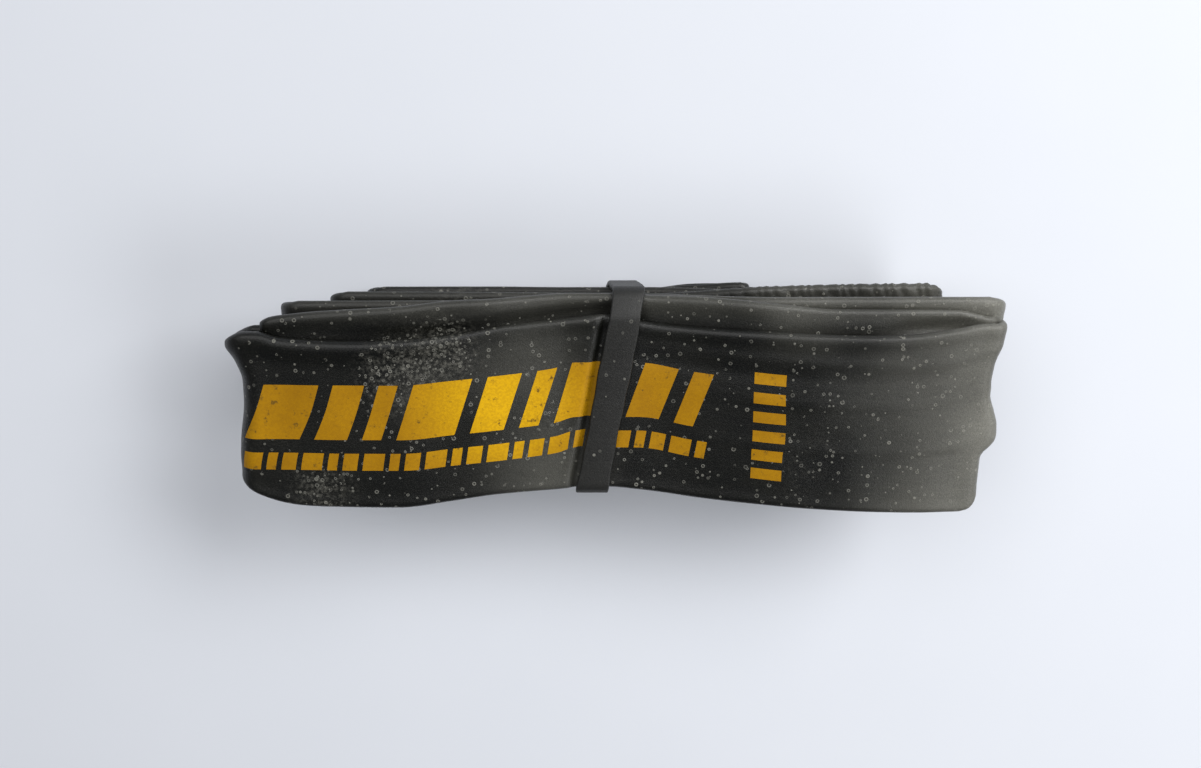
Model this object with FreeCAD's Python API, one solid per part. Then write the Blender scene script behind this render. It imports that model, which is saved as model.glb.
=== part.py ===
import FreeCAD, Part
import math
import os

# A bicycle inner tube as it is sold: let down flat, folded up and held by a rubber band.
# Sizes are in millimetres. +X runs along the bundle, +Z is up, and the origin lies on the
# surface under the middle of the bundle.
#
# The flat tube is a closed loop about two metres round. Pulled straight it makes two
# strands, which are folded together to and fro, so the pile holds sixteen layers.
# Layer 0 is on top and carries the print; layer 15 is at the bottom.

V = FreeCAD.Vector

# The flat tube
flat_width = 30.0
wall = 0.75
layers = 16

# Heights of the layers' middles at the left end, at the waist and at the right end.
# The waist is where the rubber band squeezes the pile, and the right end rides on the valve.
left_pitch = 1.85
waist_bottom = 2.25
waist_pitch = 1.6
right_bottom = 8.0
right_pitch = 1.6
open_pitch = 3.2
first_over_valve = 13

# Where along X the heights change
left_shoulder_x = -20.0
waist_x = 1.5
waist_half = 6.5
short_shoulder_x = 16.0
right_shoulder_x = 29.0
hollow_x = 50.0

# How far each layer lies off to the side, from the top one down: the pile was folded by
# hand, so groups of layers step in and out
left_drift = [0.0, 4.0, 3.2, 0.0, 3.6, 2.8, 2.2, 1.6, 3.2, 2.5, 1.9, 1.3, 2.2, 1.5, 0.9, 0.3]
waist_drift = [3.0, 5.9, 5.2, 4.3, 3.9, 3.4, 2.9, 2.5, 2.9, 2.3, 1.9, 1.5, 2.3, 1.7, 1.2, 0.6]
right_drift = [-0.1, 3.7, 5.5, 4.6, 4.0, 3.6, 3.0, 2.6, 2.1, 1.6, 4.0, 3.0, 2.5, 2.0, 2.2, 1.5]
loop_drift = 2.6

# Folds at the left and right ends: upper layer, lower layer, X of the fold's axis
left_folds = [
    (0, 3, -56.5),
    (1, 2, -52.6),
    (4, 7, -49.7),
    (5, 6, -48.4),
    (8, 11, -43.0),
    (9, 10, -41.8),
    (12, 15, -38.0),
    (13, 14, -36.8),
]
right_folds = [
    (0, 1, 62.0),
    (2, 5, 62.6),
    (3, 4, 61.0),
    (6, 9, 57.8),
    (7, 8, 56.4),
    (10, 13, 55.8),
    (11, 12, 54.5),
    (14, 15, 24.8),
]
fold_steps = 8

# The loop's lower end is a short flap, with the valve on its nose
short_end_z = 3.4

# The middle of the pile's outline, which is moved onto the origin
middle_x = 2.875
middle_y = 3.4

# Rubber band. Its outline goes through four corners round the waist, and the lean is how
# far it shifts along X for each millimetre across.
band_width = 5.4
band_thick = 1.0
band_lean = 0.18
band_gap = 0.4
band_corner = 1.2
band_low_left = -14.6
band_low_right = 16.8
band_high_left = -12.2
band_high_right = 21.4

# Valve, built along +X from the face of its rubber foot
valve_y = 1.8
valve_z = 3.5
foot_face_x = 28.3
foot_back_x = 25.5
foot_width = 12.0
foot_height = 5.6
foot_round = 2.5
foot_sink = 1.4
flange_radius = 2.4
flange_thick = 0.6
root_radius = 2.1
barrel_radius = 3.0
barrel_length = 13.0
neck_radius = 2.6
neck_length = 10.0
neck_chamfer = 0.4
stem_length = foot_sink + barrel_length + neck_length
thread_start = 0.6
thread_pitch = 1.06
thread_turns = 8
thread_depth = 0.25
bore_radius = 1.75
inner_bore_radius = 1.3
bore_spare = 4.0

# Valve core
core_radius = 1.72
core_depth = 9.0
collar_radius = 2.1
collar_length = 2.6
collar_flats = 3.4
gasket_thick = 0.5
pin_hole_radius = 0.85
pin_radius = 0.78
pin_tail = 0.8
pin_top = 6.8
pin_head_radius = 1.15
pin_head_length = 0.8
seal_radius = 1.5
seal_length = 1.4
seal_stand_off = 0.05
nut_radius = 1.95
nut_length = 3.2
nut_lift = 2.4
nut_teeth = 16
nut_tooth = 0.14
nut_bore_radius = 0.8

# Cap
cap_radius = 3.4
cap_length = 20.5
cap_start = 1.2
cap_bore_radius = 2.66
cap_wide_bore = 9.6
cap_narrow_radius = 2.42
cap_bore_length = 19.3
cap_tip_radius = 2.8
cap_taper_length = 7.0
cap_ribs = 14
cap_rib_depth = 0.22
cap_rib_start = 1.5
cap_rib_length = 10.0


def flat_section(x, y, z, heading):
    """Outline across one flat layer with rounded edges; the heading is its slope in degrees."""
    half = flat_width / 2 - wall
    low_left = V(0, -half, -wall)
    low_right = V(0, half, -wall)
    top_right = V(0, half, wall)
    top_left = V(0, -half, wall)
    edges = [
        Part.LineSegment(low_left, low_right).toShape(),
        Part.Arc(low_right, V(0, half + wall, 0), top_right).toShape(),
        Part.LineSegment(top_right, top_left).toShape(),
        Part.Arc(top_left, V(0, -half - wall, 0), low_left).toShape(),
    ]
    outline = Part.Wire(edges)
    outline.rotate(V(0, 0, 0), V(0, 1, 0), -heading)
    outline.translate(V(x, y, z))
    return outline


def left_level(number):
    """Height of a layer's middle at the left end."""
    return wall + left_pitch * (layers - 1 - number)


def waist_level(number):
    """Height of a layer's middle under the rubber band."""
    return waist_bottom + waist_pitch * (layers - 1 - number)


def over_valve_level(number):
    """Height of a layer's middle at the right shoulder, over the valve."""
    return right_bottom + right_pitch * (first_over_valve - number)


def right_level(number):
    """Height of a layer's middle at its right end."""
    if number == 0:
        return over_valve_level(1) + open_pitch
    if number == layers - 2:
        return short_end_z + left_pitch / 2
    if number == layers - 1:
        return short_end_z - left_pitch / 2
    return over_valve_level(number)


def right_end_drift(number):
    """Sideways place of a layer's right end; the top two meet in the loop's upper end."""
    if number < 2:
        return loop_drift
    return right_drift[number]


def fold(x, upper, lower, side):
    """Half turn that joins two layers given as (Y, Z); side is -1 at the left end, 1 at the right."""
    middle_z = (upper[1] + lower[1]) / 2
    radius = (upper[1] - lower[1]) / 2
    sections = []
    for step in range(fold_steps + 1):
        share = step / fold_steps
        angle = math.pi * share
        y = upper[0] + (lower[0] - upper[0]) * share
        across = side * radius * math.sin(angle)
        height = middle_z + radius * math.cos(angle)
        sections.append(flat_section(x + across, y, height, -side * 180 * share))
    return Part.makeLoft(sections, True, True)


def straight_run(number, left_x, right_x):
    """One layer between its two folds: a slab that dips at the waist and climbs the valve."""
    stations = [
        (left_x, left_drift[number], left_level(number)),
        (left_shoulder_x, left_drift[number], left_level(number)),
        (waist_x - waist_half, waist_drift[number], waist_level(number)),
        (waist_x + waist_half, waist_drift[number], waist_level(number)),
    ]
    if number > first_over_valve:
        stations.append((short_shoulder_x, right_drift[number], left_level(number)))
    else:
        stations.append((right_shoulder_x, right_drift[number], over_valve_level(number)))
    if number < 2:
        stations.append((hollow_x, right_drift[number], over_valve_level(number)))
    stations.append((right_x, right_end_drift(number), right_level(number)))
    sections = [flat_section(x, y, z, 0) for x, y, z in stations]
    return Part.makeLoft(sections, True, True)


def tube_body():
    """The folded tube: its straight runs joined by their folds."""
    left_x = {}
    right_x = {}
    pieces = []
    for upper, lower, x in left_folds:
        left_x[upper] = x
        left_x[lower] = x
        top = (left_drift[upper], left_level(upper))
        bottom = (left_drift[lower], left_level(lower))
        pieces.append(fold(x, top, bottom, -1))
    for upper, lower, x in right_folds:
        right_x[upper] = x
        right_x[lower] = x
        top = (right_end_drift(upper), right_level(upper))
        bottom = (right_end_drift(lower), right_level(lower))
        pieces.append(fold(x, top, bottom, 1))
    for number in range(layers):
        pieces.append(straight_run(number, left_x[number], right_x[number]))
    return pieces[0].multiFuse(pieces[1:]).removeSplitter()


def waist_outline(x, clearance):
    """Outline round the pile's waist, square to X, standing off it by the clearance."""
    low_z = waist_level(layers - 1) - wall + band_corner
    high_z = waist_level(0) + wall - band_corner
    corners = [
        V(x, band_low_left + band_corner, low_z),
        V(x, band_low_right - band_corner, low_z),
        V(x, band_high_right - band_corner, high_z),
        V(x, band_high_left + band_corner, high_z),
        V(x, band_low_left + band_corner, low_z),
    ]
    return Part.Face(Part.makePolygon(corners)).makeOffset2D(band_corner + clearance)


def rubber_band():
    """A wide flat band round the waist, leaning a little off square."""
    start = waist_x - band_width / 2
    along = V(band_width, 0, 0)
    outer = waist_outline(start, band_gap + band_thick).extrude(along)
    inner = waist_outline(start, band_gap).extrude(along)
    band = outer.cut(inner)
    lean = FreeCAD.Matrix()
    lean.A12 = band_lean
    lean.A14 = -band_lean * middle_y
    return band.transformGeometry(lean)


def rod(radius, start, length):
    """Round bar on the valve's axis, measured from the face of its foot."""
    return Part.makeCylinder(radius, length, V(foot_face_x + start, valve_y, valve_z), V(1, 0, 0))


def cone(start_radius, end_radius, start, length):
    """Tapered round bar on the valve's axis."""
    base = V(foot_face_x + start, valve_y, valve_z)
    return Part.makeCone(start_radius, end_radius, length, base, V(1, 0, 0))


def valve_foot(tube):
    """Moulded rubber pad that joins the valve to the nose of the tube's last fold."""
    depth = foot_face_x - foot_back_x
    low_corner = V(foot_back_x, valve_y - foot_width / 2, valve_z - foot_height / 2)
    pad = Part.makeBox(depth, foot_width, foot_height, low_corner)
    corners = [edge for edge in pad.Edges if edge.BoundBox.XLength > depth / 2]
    pad = pad.makeFillet(foot_round, corners)
    stem = rod(flange_radius, -foot_sink, flange_thick)
    stem = stem.fuse(rod(root_radius, -foot_sink, foot_sink))
    pad = pad.cut(tube).cut(stem)
    return max(pad.Solids, key=lambda solid: solid.Volume)


def valve_stem():
    """Stem: a flange in the rubber, a smooth barrel and a narrower grooved neck for the cap.

    The grooves are rings that stand in for the neck's fine thread.
    """
    stem = rod(flange_radius, -foot_sink, flange_thick)
    stem = stem.fuse(rod(root_radius, -foot_sink, foot_sink))
    stem = stem.fuse(rod(barrel_radius, 0, barrel_length))
    neck = rod(neck_radius, barrel_length, neck_length - neck_chamfer)
    tip_start = barrel_length + neck_length - neck_chamfer
    tip = cone(neck_radius, neck_radius - neck_chamfer, tip_start, neck_chamfer)
    stem = stem.fuse(neck).fuse(tip)
    for groove in range(thread_turns):
        start = barrel_length + thread_start + groove * thread_pitch
        cutter = rod(barrel_radius, start, thread_pitch / 2)
        cutter = cutter.cut(rod(neck_radius - thread_depth, start, thread_pitch / 2))
        stem = stem.cut(cutter)
    stem = stem.cut(rod(inner_bore_radius, -foot_sink, stem_length))
    stem = stem.cut(rod(bore_radius, stem_length - foot_sink - core_depth - bore_spare, stem_length))
    return stem.removeSplitter()


def core_body():
    """The core's brass body: a plug in the stem and a collar with two flats on top."""
    top = barrel_length + neck_length
    plug = rod(core_radius, top - core_depth, core_depth + gasket_thick)
    collar = rod(collar_radius, top + gasket_thick, collar_length)
    flat_box = Part.makeBox(
        collar_length,
        2 * collar_radius,
        collar_flats,
        V(foot_face_x + top + gasket_thick, valve_y - collar_radius, valve_z - collar_flats / 2),
    )
    body = plug.fuse(collar.common(flat_box))
    hole_length = core_depth + gasket_thick + collar_length
    body = body.cut(rod(pin_hole_radius, top - core_depth, hole_length))
    return body.removeSplitter()


def core_gasket():
    """Rubber ring between the core's collar and the end of the stem."""
    top = barrel_length + neck_length
    ring = rod(collar_radius, top, gasket_thick)
    return ring.cut(rod(core_radius, top, gasket_thick))


def core_pin():
    """Brass pin that runs through the core, with a small head at its outer end."""
    top = barrel_length + neck_length
    bottom = top - core_depth - seal_length - seal_stand_off - pin_tail
    length = top + gasket_thick + collar_length + pin_top - bottom
    pin = rod(pin_radius, bottom, length)
    pin = pin.fuse(rod(pin_head_radius, bottom + length - pin_head_length, pin_head_length))
    return pin.fuse(rod(pin_head_radius, bottom, pin_tail)).removeSplitter()


def core_seal():
    """Rubber sleeve on the pin that shuts the core's inner end."""
    start = barrel_length + neck_length - core_depth - seal_stand_off - seal_length
    return rod(seal_radius, start, seal_length).cut(rod(pin_radius, start, seal_length))


def core_nut():
    """Toothed lock nut on the pin, shown unscrewed so that the pin can be pushed in."""
    start = barrel_length + neck_length + gasket_thick + collar_length + nut_lift
    nut = rod(nut_radius, start, nut_length)
    for tooth in range(nut_teeth):
        groove = rod(nut_tooth, start, nut_length)
        groove.translate(V(0, 0, nut_radius))
        groove.rotate(V(0, valve_y, valve_z), V(1, 0, 0), 360 * tooth / nut_teeth)
        nut = nut.cut(groove)
    return nut.cut(rod(nut_bore_radius, start, nut_length))


def valve_cap():
    """Long plastic cap over the neck and the core, ribbed for the fingers."""
    start = barrel_length + cap_start
    straight = cap_length - cap_taper_length
    cap = rod(cap_radius, start, straight)
    cap = cap.fuse(cone(cap_radius, cap_tip_radius, start + straight, cap_taper_length))
    for rib in range(cap_ribs):
        groove = rod(cap_rib_depth, start + cap_rib_start, cap_rib_length)
        groove.translate(V(0, 0, cap_radius))
        groove.rotate(V(0, valve_y, valve_z), V(1, 0, 0), 360 * rib / cap_ribs)
        cap = cap.cut(groove)
    cap = cap.cut(rod(cap_bore_radius, start, cap_wide_bore))
    return cap.cut(rod(cap_narrow_radius, start, cap_bore_length)).removeSplitter()


def main():
    tube = tube_body().Solids[0]
    parts = {
        "tube_body": tube,
        "rubber_band": rubber_band(),
        "valve_foot": valve_foot(tube),
        "valve_stem": valve_stem(),
        "core_body": core_body(),
        "core_gasket": core_gasket(),
        "core_pin": core_pin(),
        "core_seal": core_seal(),
        "core_nut": core_nut(),
        "valve_cap": valve_cap(),
    }
    os.makedirs("parts", exist_ok=True)
    for name, shape in parts.items():
        solid = shape.Solids[0]
        solid.translate(V(-middle_x, -middle_y, 0))
        solid.exportStep("parts/" + name + ".step")


main()
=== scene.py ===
import math

import bmesh
import bpy
import numpy as np
from mathutils import Matrix, Vector


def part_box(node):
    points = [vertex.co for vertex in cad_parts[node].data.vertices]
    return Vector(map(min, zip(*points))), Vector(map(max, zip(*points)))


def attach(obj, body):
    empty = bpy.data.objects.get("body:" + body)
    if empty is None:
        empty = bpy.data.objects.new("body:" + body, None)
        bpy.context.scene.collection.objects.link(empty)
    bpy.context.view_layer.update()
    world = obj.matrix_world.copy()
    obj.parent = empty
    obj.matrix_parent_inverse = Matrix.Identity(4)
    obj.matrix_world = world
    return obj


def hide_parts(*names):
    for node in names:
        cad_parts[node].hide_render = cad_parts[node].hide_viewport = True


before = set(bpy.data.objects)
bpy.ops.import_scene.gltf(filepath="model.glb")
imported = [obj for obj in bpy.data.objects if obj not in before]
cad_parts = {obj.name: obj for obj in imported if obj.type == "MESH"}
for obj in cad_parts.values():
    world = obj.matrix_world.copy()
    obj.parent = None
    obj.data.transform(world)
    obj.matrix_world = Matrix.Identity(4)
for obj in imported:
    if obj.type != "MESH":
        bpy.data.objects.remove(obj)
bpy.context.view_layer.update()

MM = 0.001


def ends(node):
    """Where a CAD node starts and ends along X, in mm."""
    low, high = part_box(node)
    return low[0] / MM, high[0] / MM


def middle_of(node):
    """The middle of a CAD node's box, in mm."""
    low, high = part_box(node)
    return (np.array(low) + np.array(high)) / 2 / MM


def sizes(node):
    """The sizes of a CAD node's box, in mm."""
    low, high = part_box(node)
    return (np.array(high) - np.array(low)) / MM


# ---------------------------------------------------------------- the valve's sizes
# These are in millimetres in the part's own frame. The thread and the cap's grooves are cut
# only where the radius is over their FROM value, so that the bores stay smooth.
FOOT_WIDE, FOOT_HIGH = sizes("valve_foot")[1:]
FOOT_SQUARENESS = 3.2
NECK_END = ends("valve_stem")[1]
NECK_START = NECK_END - 10.0
BORE_END = NECK_END - 13.0
BARREL_RADIUS = 3.0
NECK_RADIUS = 2.6
BORE_RADIUS = 1.76
THREAD_PITCH = 0.8
THREAD_DEPTH = 0.24
THREAD_FROM = 2.5
CAP_RADIUS = 3.4
CAP_TAPER = 0.45
CAP_TIP_ROUND = 1.0
CAP_GROOVES = 14
CAP_GROOVE_DEPTH = 0.24
CAP_GROOVE_FROM = 3.0

# ---------------------------------------------------------------- the folded tube's path
# Sizes are in millimetres in the pile's own axes; to_frame() moves them to the part's frame.
# Layers are numbered from the top one, 0, down. A flat layer is two walls thick.
HALF = 15.0
WALL = 0.75
LAYERS = 16
WAIST_X = 1.5
WAIST_HALF = 6.5

# How far apart the layers lie, at the left and where the band or the valve squeezes them; the
# lowest layer's height at the waist and over the valve; and the step up in the top right fold
LEFT_PITCH = 1.85
TIGHT_PITCH = 1.6
WAIST_LOW = 2.25
OVER_VALVE_LOW = 8.0
TOP_FOLD_STEP = 2.1

# The layers after LAST_LONG end short of the valve, in a fold at this height
LAST_LONG = 13
SHORT_FOLD_HEIGHT = 3.4

# Sideways place of each layer, from the top one down, at the left, the waist and the right
LEFT_Y = [0.0, 2.6, 2.2, 0.0, 3.6, 2.8, 2.2, 1.6, 3.2, 2.5, 1.9, 1.3, 2.2, 1.5, 0.9, 0.3]
WAIST_Y = [3.0, 5.9, 5.2, 4.3, 3.9, 3.4, 2.9, 2.5, 2.9, 2.3, 1.9, 1.5, 2.3, 1.7, 1.2, 0.6]
RIGHT_Y = [-0.1, 3.7, 5.5, 4.6, 4.0, 3.6, 3.0, 2.6, 2.1, 1.6, 4.4, 3.2, 2.5, 2.0, 2.4, 1.7]
SHORT_Y = {14: 1.45, 15: 1.2}

# Sideways place of the fold that joins the two top layers
LOOP_Y = 2.6

# Folds: upper layer, lower layer, X of the fold's axis, and how its corners are rounded:
# along X and across on the +Y side, then on the -Y side
LEFT_FOLDS = [
    (0, 3, -56.5, (4.0, 3.2), (11.0, 5.5)),
    (1, 2, -52.8, (2.8, 2.0), (4.0, 2.0)),
    (4, 7, -49.7, (0.9, 0.9), (3.0, 2.0)),
    (5, 6, -48.4, (1.5, 1.5), (2.0, 2.0)),
    (8, 11, -43.0, (1.8, 1.6), (3.0, 2.0)),
    (9, 10, -41.8, (1.5, 1.5), (2.0, 2.0)),
    (12, 15, -38.0, (1.8, 1.2), (4.0, 3.0)),
    (13, 14, -36.8, (1.5, 1.5), (2.0, 2.0)),
]
RIGHT_FOLDS = [
    (0, 1, 62.8, (1.0, 0.8), (3.4, 2.4)),
    (2, 5, 62.6, (2.4, 1.8), (3.0, 2.0)),
    (3, 4, 61.0, (1.5, 1.5), (2.0, 2.0)),
    (6, 9, 57.8, (2.0, 2.0), (3.0, 2.0)),
    (7, 8, 56.4, (1.5, 1.5), (2.0, 2.0)),
    (10, 13, 55.8, (2.6, 2.0), (3.0, 2.0)),
    (11, 12, 54.5, (1.5, 1.5), (2.0, 2.0)),
    (14, 15, 24.8, (0.9, 0.9), (2.5, 2.0)),
]

# The CAD tube's lowest X and Y, in the pile's axes
PILE_LEFT = -60.025
PILE_NEAR = -15.1
TUBE_LOW = np.array(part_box("tube_body")[0]) / MM
SHIFT = np.array([TUBE_LOW[0] - PILE_LEFT, TUBE_LOW[1] - PILE_NEAR, 0.0])


def left_level(k):
    """Height of a layer's middle at the left."""
    return WALL + LEFT_PITCH * (LAYERS - 1 - k)


def waist_level(k):
    """Height of a layer's middle under the band."""
    return WAIST_LOW + TIGHT_PITCH * (LAYERS - 1 - k)


def over_valve_level(k):
    """Height of a layer's middle where it lies over the valve."""
    return OVER_VALVE_LOW + TIGHT_PITCH * (LAST_LONG - k)


def right_level(k):
    """Height of a layer's middle at its right end."""
    if k == 0:
        return over_valve_level(1) + TOP_FOLD_STEP
    if k > LAST_LONG:
        return SHORT_FOLD_HEIGHT + LEFT_PITCH * ((LAST_LONG + LAYERS) / 2 - k)
    return over_valve_level(k)


def smooth_curve(xs, ys):
    """Monotone cubic through the points, flat at both ends."""
    xs, ys = np.array(xs, float), np.array(ys, float)
    gap = np.diff(xs)
    slope = np.diff(ys) / gap
    tangent = np.zeros(len(xs))
    for i in range(1, len(xs) - 1):
        if slope[i - 1] * slope[i] > 0:
            w1, w2 = 2 * gap[i] + gap[i - 1], gap[i] + 2 * gap[i - 1]
            tangent[i] = (w1 + w2) / (w1 / slope[i - 1] + w2 / slope[i])

    def at(x):
        x = np.clip(x, xs[0], xs[-1])
        i = np.clip(np.searchsorted(xs, x) - 1, 0, len(gap) - 1)
        t = (x - xs[i]) / gap[i]
        return (
            ys[i] * (1 + 2 * t) * (1 - t) ** 2
            + gap[i] * tangent[i] * t * (1 - t) ** 2
            + ys[i + 1] * t * t * (3 - 2 * t)
            + gap[i] * tangent[i + 1] * t * t * (t - 1)
        )

    return at


# fold_of[layer, side] is the fold's X, the layer after it, its tip's X and its two roundings.
# layer_y[layer] and layer_z[layer] give where the layer's middle lies at an X.
fold_of, layer_y, layer_z = {}, {}, {}
for side, folds in ((-1, LEFT_FOLDS), (1, RIGHT_FOLDS)):
    for upper, lower, x, far, near in folds:
        tip = side * (left_level(upper) - left_level(lower)) / 2 + side * WALL
        fold_of[upper, side] = (x, lower, x + tip, far, near)
        fold_of[lower, side] = (x, upper, x + tip, far, near)

# Extra stations of the two top layers, whose edges show: X and sideways place
TOP_PATH = {
    0: (
        [(-32.0, 0.0), (-24.0, 0.6), (-16.0, 1.2), (-7.5, 2.1)],
        [(15.0, 1.6), (24.0, 0.8), (37.0, 0.1), (49.0, -0.1), (57.0, 0.7)],
    ),
    1: (
        [(-50.0, 2.9), (-46.5, 3.3), (-32.0, 4.2), (-23.6, 5.2), (-15.5, 5.5)],
        [(8.0, 5.5), (15.0, 5.5), (22.0, 5.3), (29.0, 4.7), (37.0, 3.9), (57.0, 3.7)],
    ),
}

# Long edges of the top layer: X and Y
FAR_EDGE = [(-57.0, 15.6), (-54.5, 15.6), (-51.0, 14.7), (-40.0, 14.2), (-32.0, 14.4), (-23.7, 15.1)]
FAR_EDGE += [(-15.6, 16.3), (-7.3, 17.0), (-3.0, 17.5), (0.5, 17.8), (6.3, 16.8), (9.3, 16.3)]
FAR_EDGE += [(15.0, 15.9), (28.0, 15.6), (40.0, 15.3), (48.0, 15.4), (57.0, 16.5), (61.0, 17.1)]
NEAR_EDGE = [(-57.0, -14.3), (-45.0, -14.8), (-33.5, -14.9), (-25.0, -14.0), (-17.0, -13.1), (-7.0, -12.7)]
NEAR_EDGE += [(1.0, -12.3), (6.6, -12.8), (16.6, -14.0), (26.7, -14.5), (41.7, -15.1), (55.0, -15.5)]

# Where the left and the right part of a layer settle; the short layers settle sooner
LEFT_STATION = -20.0
RIGHT_STATION = 29.0
SHORT_STATION = 16.0

# The top layer's height, as (X, Z) pairs left and right of the waist
TOP_LEFT_RISE = [(-56.5, 28.5), (-44.0, 28.95), (-34.0, 29.1), (-25.0, 28.4), (-9.0, 26.65)]
TOP_RIGHT_RISE = [(29.0, 29.0), (36.5, 29.7), (44.0, 30.0), (54.0, 29.8)]


def side_stations(k):
    """Where a layer lies sideways, as (X, Y) pairs from left to right."""
    left = [(LEFT_STATION, 0.75 * LEFT_Y[k] + 0.25 * WAIST_Y[k])]
    right = [(RIGHT_STATION, 0.8 * RIGHT_Y[k] + 0.2 * WAIST_Y[k])]
    if k > LAST_LONG:
        right = [(SHORT_STATION, SHORT_Y[k])]
    if k in TOP_PATH:
        left, right = TOP_PATH[k]
    start = [(fold_of[k, -1][0], LEFT_Y[k])]
    waist = [(WAIST_X - WAIST_HALF + 1, WAIST_Y[k]), (WAIST_X + WAIST_HALF - 2, WAIST_Y[k])]
    finish = [(fold_of[k, 1][0], LOOP_Y if k < 2 else RIGHT_Y[k])]
    return start + left + waist + right + finish


def height_stations(k):
    """How high a layer's middle lies, as (X, Z) pairs from left to right."""
    waist = [(WAIST_X - WAIST_HALF, waist_level(k)), (WAIST_X + WAIST_HALF, waist_level(k))]
    finish = [(fold_of[k, 1][0], right_level(k))]
    if k == 0:
        return TOP_LEFT_RISE + waist + TOP_RIGHT_RISE + finish
    left = [(fold_of[k, -1][0], left_level(k)), (LEFT_STATION, left_level(k))]
    right = [(RIGHT_STATION, over_valve_level(k))]
    if k > LAST_LONG:
        right = [(SHORT_STATION, left_level(k))]
    return left + waist + right + finish


for k in range(LAYERS):
    layer_y[k] = smooth_curve(*zip(*side_stations(k)))
    layer_z[k] = smooth_curve(*zip(*height_stations(k)))
far_edge = smooth_curve(*zip(*FAR_EDGE))
near_edge = smooth_curve(*zip(*NEAR_EDGE))


def ramp(x, low, high):
    """Smooth step from 0 at low to 1 at high."""
    t = np.clip((x - low) / (high - low), 0, 1)
    return t * t * (3 - 2 * t)


def hump(x, middle, width):
    """Smooth bump, 1 at its middle."""
    return np.exp(-(((x - middle) / width) ** 2))


# How far the folded ends lean in from their tips, by the share of the way from the +Y edge
LEFT_LEAN = smooth_curve(
    [0.0, 0.1, 0.2, 0.31, 0.42, 0.67, 0.78, 1.0],
    [-0.5, -0.5, 0.5, 1.4, 1.35, 0.2, -0.1, -0.1],
)
RIGHT_LEAN = smooth_curve(
    [0.04, 0.1, 0.16, 0.3, 0.37, 0.47, 0.55, 0.62, 0.665, 0.71, 0.75, 1.0],
    [-0.2, 0.1, 0.6, 1.35, 1.25, 0.3, -0.33, -0.34, 0.4, 1.75, 1.88, 1.95],
)
SECOND_LEAN = smooth_curve([0.0, 0.36, 0.48, 0.7, 0.78, 0.85], [0.0, 0.9, 1.1, 1.4, 2.4, 3.8])

# Distances along X from the pile's middle, and heights, between which the lean of each end comes
# in, and the Y from which its share of the way across is measured
RIGHT_LEAN_X = (20.0, 60.0)
LEFT_LEAN_X = (30.0, 56.0)
TOP_RIGHT_Z = (26.2, 27.0)
SECOND_RIGHT_Z = (19.0, 20.0)
TOP_LEFT_Z = (21.0, 24.0)
LEAN_FROM_Y = 16.0


def warp(p):
    """Uneven ends of the pile, in the pile's axes."""
    x, y, z = p[..., 0], p[..., 1], p[..., 2]
    top = ramp(z, *TOP_RIGHT_Z)
    second = ramp(z, *SECOND_RIGHT_Z) * (1 - top)
    right = ramp(x, *RIGHT_LEAN_X)
    left = ramp(-x, *LEFT_LEAN_X) * ramp(z, *TOP_LEFT_Z)
    across = np.clip((LEAN_FROM_Y - y) / (2 * HALF), 0, 1)
    out = p.copy()
    out[..., 0] -= right * top * RIGHT_LEAN(across)
    out[..., 0] -= right * second * SECOND_LEAN(across)
    out[..., 0] += left * LEFT_LEAN(across)
    return out


def to_frame(p):
    """From the pile's millimetres to the part's metres."""
    return (p + SHIFT) * MM


# ---------------------------------------------------------------- the tube's skin
# Points round a layer: steps round its long edges and across its faces, closer towards the edges
EDGE_STEPS = 7
FACE_STEPS = 54
FACE_EASE = 0.9

# Rings along the loop: their distance, and their number round a fold and a fold under TIGHT_FOLD
STEP = 1.1
FINE_STEP = 0.3
FOLD_STEPS = 17
TIGHT_FOLD_STEPS = 11
TIGHT_FOLD = 1.5
SLOPE_STEP = 0.1

# Half a layer's thickness: the wall, less a little so that layers don't touch. Then how far the
# rounded long edges stand out of the flat faces
FACE = WALL - 0.04
EDGE_REACH = WALL + 0.1

# The band's half width. Its middle line runs through (BAND_X, BAND_Y) and leans along X
BAND_HALF = 2.6
BAND_X = WAIST_X - 0.1
BAND_Y = 3.4
BAND_LEAN = 0.18

# How tall the folded edges stand, on the +Y and on the -Y side
BEADS = {0: (0.32, 0.12), 1: (0.3, 0.0), 2: (0.3, 0.0)}
HIDDEN_BEAD = (0.1, 0.04)

# Lengthwise ridges of the top layer's right part: height, place across and width
RIDGES = ((0.14, 10.5, 0.8), (0.18, 3.6, 1.0), (0.14, -4.3, 0.9))

# The stretch of the top layer beside the band, and the wrinkled layers over the valve
PINCHED = (-9.5, 0.5)
RIBBED = (10, 11, 12, 13)
RIB_START = 19.0
RIB_PITCH = 1.8
RIB_SLANT = 0.45


def band_middle(y):
    """X of the leaning band's middle line."""
    return BAND_X + BAND_LEAN * (y - BAND_Y)


def bead(k, x, v, near, far):
    """How far the folded edges stand up from the face of a layer whose top shows."""
    tall_far, tall_near = BEADS.get(k, HIDDEN_BEAD)
    wide = 1.2
    if k == 1:
        # The second layer's bead sinks away towards the right
        tall_far = tall_far - 0.38 * ramp(x, 22.0, 42.0)
    if k == 0:
        # The top layer's turned-over lip: taller and wider at the left, low beside the band
        left = ramp(-x, 15.0, 45.0)
        tall_far = tall_far + 0.4 * left - 0.16 * hump(x, -13.0, 7.0)
        wide = wide + 0.6 * left
    inset = EDGE_REACH + 0.1
    far_bead = tall_far * hump(v, far - inset - 0.5 * (wide - 1.0), wide)
    return far_bead + tall_near * hump(v, inset - near, 1.0)


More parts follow.
